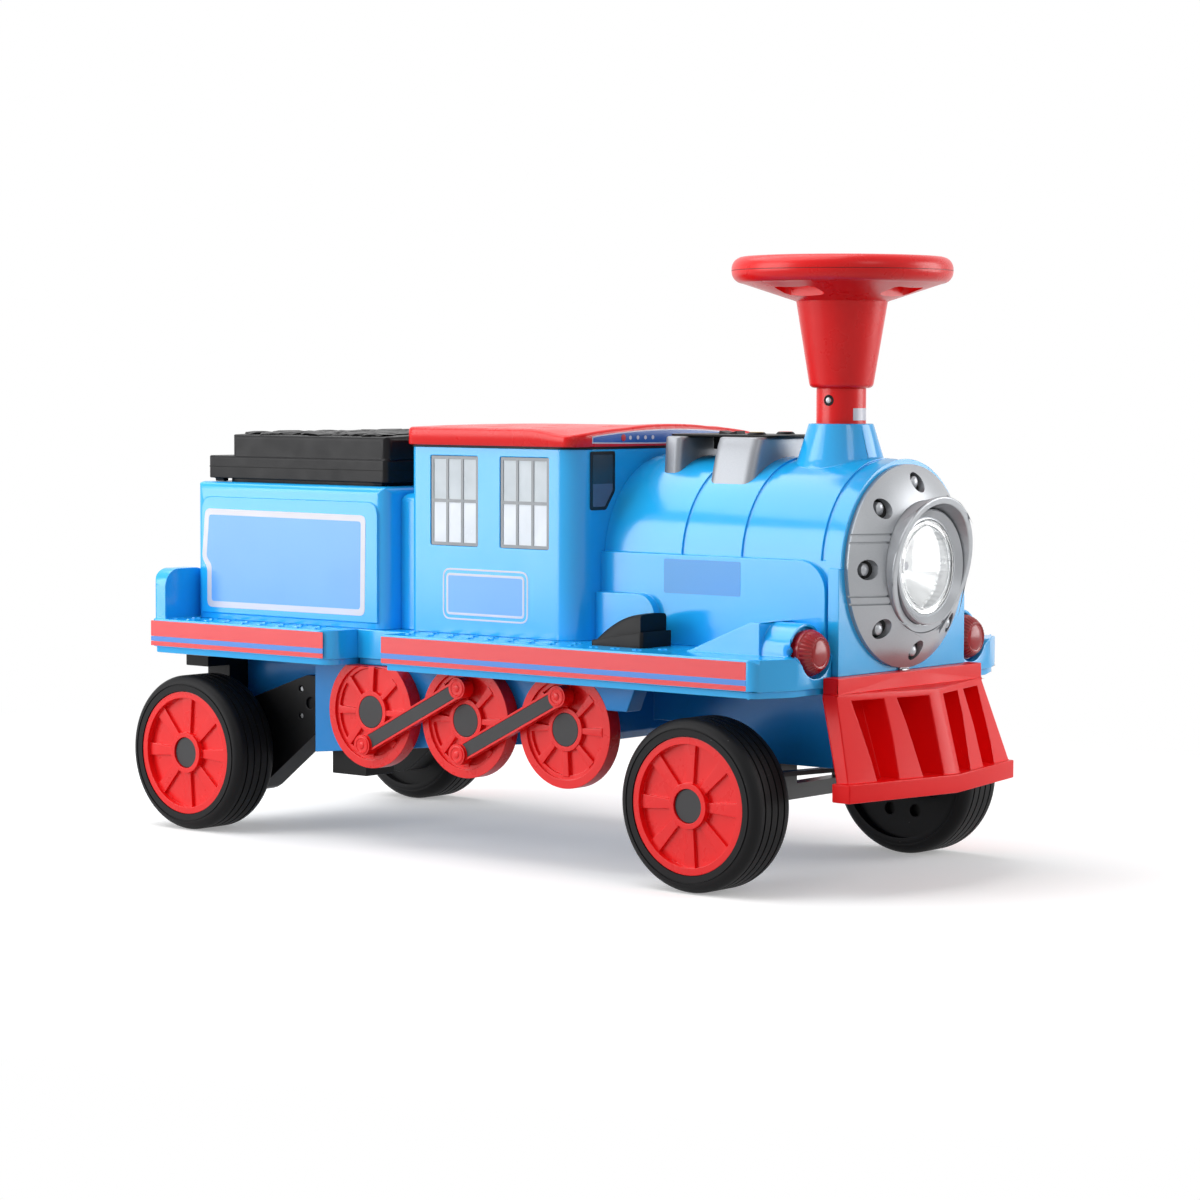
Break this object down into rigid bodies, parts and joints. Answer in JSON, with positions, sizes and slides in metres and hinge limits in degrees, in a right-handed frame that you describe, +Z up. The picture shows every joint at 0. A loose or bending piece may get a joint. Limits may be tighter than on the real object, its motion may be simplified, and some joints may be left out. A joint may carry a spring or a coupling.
{
  "type": "ride-on train",
  "caption": "Ride-on toy steam train with a spoked steering wheel on its chimney, steered front wheels, coal tender with lid, seat roof, lamp, foot pedal and cowcatcher.",
  "frame": {"origin": "on the ground under the middle of the overall box", "axes": "+X forward, +Y to the train's left, +Z up"},
  "size_m": [0.87, 0.38, 0.56],
  "materials": {
    "blue_shell": "moulded gloss blue",
    "red_shell": "moulded satin red",
    "black_plastic": "moulded matte black",
    "silver_plastic": "silver-grey painted plastic",
    "mirror_plastic": "metallised reflector",
    "clear_lens": "clear moulded lens",
    "lamp_white": "pale insert",
    "red_lens": "translucent ribbed red lens",
    "grey_plastic": "dark grey insert",
    "steel": "plain steel",
    "bush_plastic": "natural bearing plastic",
    "board_green": "circuit board",
    "yellow_plastic": "moulded yellow",
    "tyre_black": "hollow moulded black tyre"
  },
  "bodies": {
    "chassis": {"front_deck": "blue_shell", "rear_deck": "blue_shell", "lower_chassis": "blue_shell", "tender_shell": "blue_shell", "link_box": "blue_shell", "cab_shell": "blue_shell", "boiler_shell": "blue_shell", "roof_seat": "red_shell", "cowcatcher": "red_shell", "driving_wheels_right": "red_shell", "driving_wheels_left": "red_shell", "coupling_rods": "red_shell", "roof_seal": "black_plastic", "control_panel": "black_plastic", "gearbox_right": "black_plastic", "gearbox_left": "black_plastic", "underside_block": "black_plastic", "pedal_base": "black_plastic", "battery": "black_plastic", "speaker": "black_plastic", "smokebox_door": "silver_plastic", "lamp_hood": "silver_plastic", "console_pods": "silver_plastic", "lamp_reflector": "mirror_plastic", "lamp_lens": "clear_lens", "lamp_led": "lamp_white", "window_inserts": "lamp_white", "buffer_lamps": "red_lens", "driving_wheel_caps": "grey_plastic", "rod_inlays": "grey_plastic", "front_axle_beam": "steel", "rear_axle": "steel", "drive_motors": "steel", "lid_hinge_pins": "steel", "steering_bushes": "bush_plastic", "control_board": "board_green"},
    "wheel_front_right": {"front_tyre_right": "tyre_black", "front_hub_right": "red_shell", "front_cap_right": "grey_plastic"},
    "wheel_front_left": {"front_tyre_left": "tyre_black", "front_hub_left": "red_shell", "front_cap_left": "grey_plastic"},
    "wheel_rear_right": {"rear_tyre_right": "tyre_black", "rear_hub_right": "red_shell", "rear_cap_right": "grey_plastic"},
    "wheel_rear_left": {"rear_tyre_left": "tyre_black", "rear_hub_left": "red_shell", "rear_cap_left": "grey_plastic"},
    "steering": {"steering_wheel": "red_shell", "steering_column": "red_shell", "steering_shaft": "steel"},
    "knuckle_right": {"knuckle_right": "steel"},
    "knuckle_left": {"knuckle_left": "steel"},
    "tie_rod": {"tie_rod": "black_plastic"},
    "pedal": {"pedal": "black_plastic"},
    "tender_lid": {"tender_lid": "black_plastic"},
    "horn_button": {"horn_button": "red_shell"},
    "music_button": {"music_button": "yellow_plastic"},
    "direction_switch": {"direction_switch": "black_plastic"}
  },
  "joints": [
    {"name": "steering_turn", "type": "hinge", "parent": "chassis", "child": "steering", "pos_m": [0.3047, 0, 0.4], "axis": [0, 0, 1], "range_deg": [-25, 25]},
    {"name": "knuckle_right_turn", "type": "hinge", "parent": "chassis", "child": "knuckle_right", "pos_m": [0.278, -0.108, 0.077], "axis": [0, 0, 1], "range_deg": [-25, 25]},
    {"name": "knuckle_left_turn", "type": "hinge", "parent": "chassis", "child": "knuckle_left", "pos_m": [0.278, 0.108, 0.077], "axis": [0, 0, 1], "range_deg": [-25, 25]},
    {"name": "tie_rod_swing", "type": "hinge", "parent": "knuckle_right", "child": "tie_rod", "pos_m": [0.312, -0.108, 0.1], "axis": [0, 0, 1], "range_deg": [-25, 25]},
    {"name": "front_wheel_right_roll", "type": "hinge", "parent": "knuckle_right", "child": "wheel_front_right", "pos_m": [0.278, -0.162, 0.077], "axis": [0, 1, 0], "continuous": true},
    {"name": "front_wheel_left_roll", "type": "hinge", "parent": "knuckle_left", "child": "wheel_front_left", "pos_m": [0.278, 0.162, 0.077], "axis": [0, 1, 0], "continuous": true},
    {"name": "rear_wheel_right_roll", "type": "hinge", "parent": "chassis", "child": "wheel_rear_right", "pos_m": [-0.358, -0.162, 0.077], "axis": [0, 1, 0], "continuous": true},
    {"name": "rear_wheel_left_roll", "type": "hinge", "parent": "chassis", "child": "wheel_rear_left", "pos_m": [-0.358, 0.162, 0.077], "axis": [0, 1, 0], "continuous": true},
    {"name": "pedal_press", "type": "hinge", "parent": "chassis", "child": "pedal", "pos_m": [0.146, -0.133, 0.216], "axis": [0, 1, 0], "range_deg": [0, 7], "stiffness_Nm_per_rad": 1.5, "springref_deg": -5.73},
    {"name": "lid_open", "type": "hinge", "parent": "chassis", "child": "tender_lid", "pos_m": [-0.3784, 0, 0.3505], "axis": [0, -1, 0], "range_deg": [0, 85]},
    {"name": "horn_press", "type": "slide", "parent": "chassis", "child": "horn_button", "axis": [0, 0, -1], "range_m": [0, 0.002], "stiffness_N_per_m": 300, "springref_m": -0.002},
    {"name": "music_press", "type": "slide", "parent": "chassis", "child": "music_button", "axis": [0, 0, -1], "range_m": [0, 0.002], "stiffness_N_per_m": 300, "springref_m": -0.002},
    {"name": "direction_tilt", "type": "hinge", "parent": "chassis", "child": "direction_switch", "pos_m": [0.18053, 0, 0.395], "axis": [0, 1, 0], "range_deg": [-12, 12]}
  ],
  "couplings": [
    {"joint": "knuckle_right_turn", "follows": "steering_turn", "ratio": 1},
    {"joint": "knuckle_left_turn", "follows": "steering_turn", "ratio": 1},
    {"joint": "tie_rod_swing", "follows": "steering_turn", "ratio": -1}
  ]
}
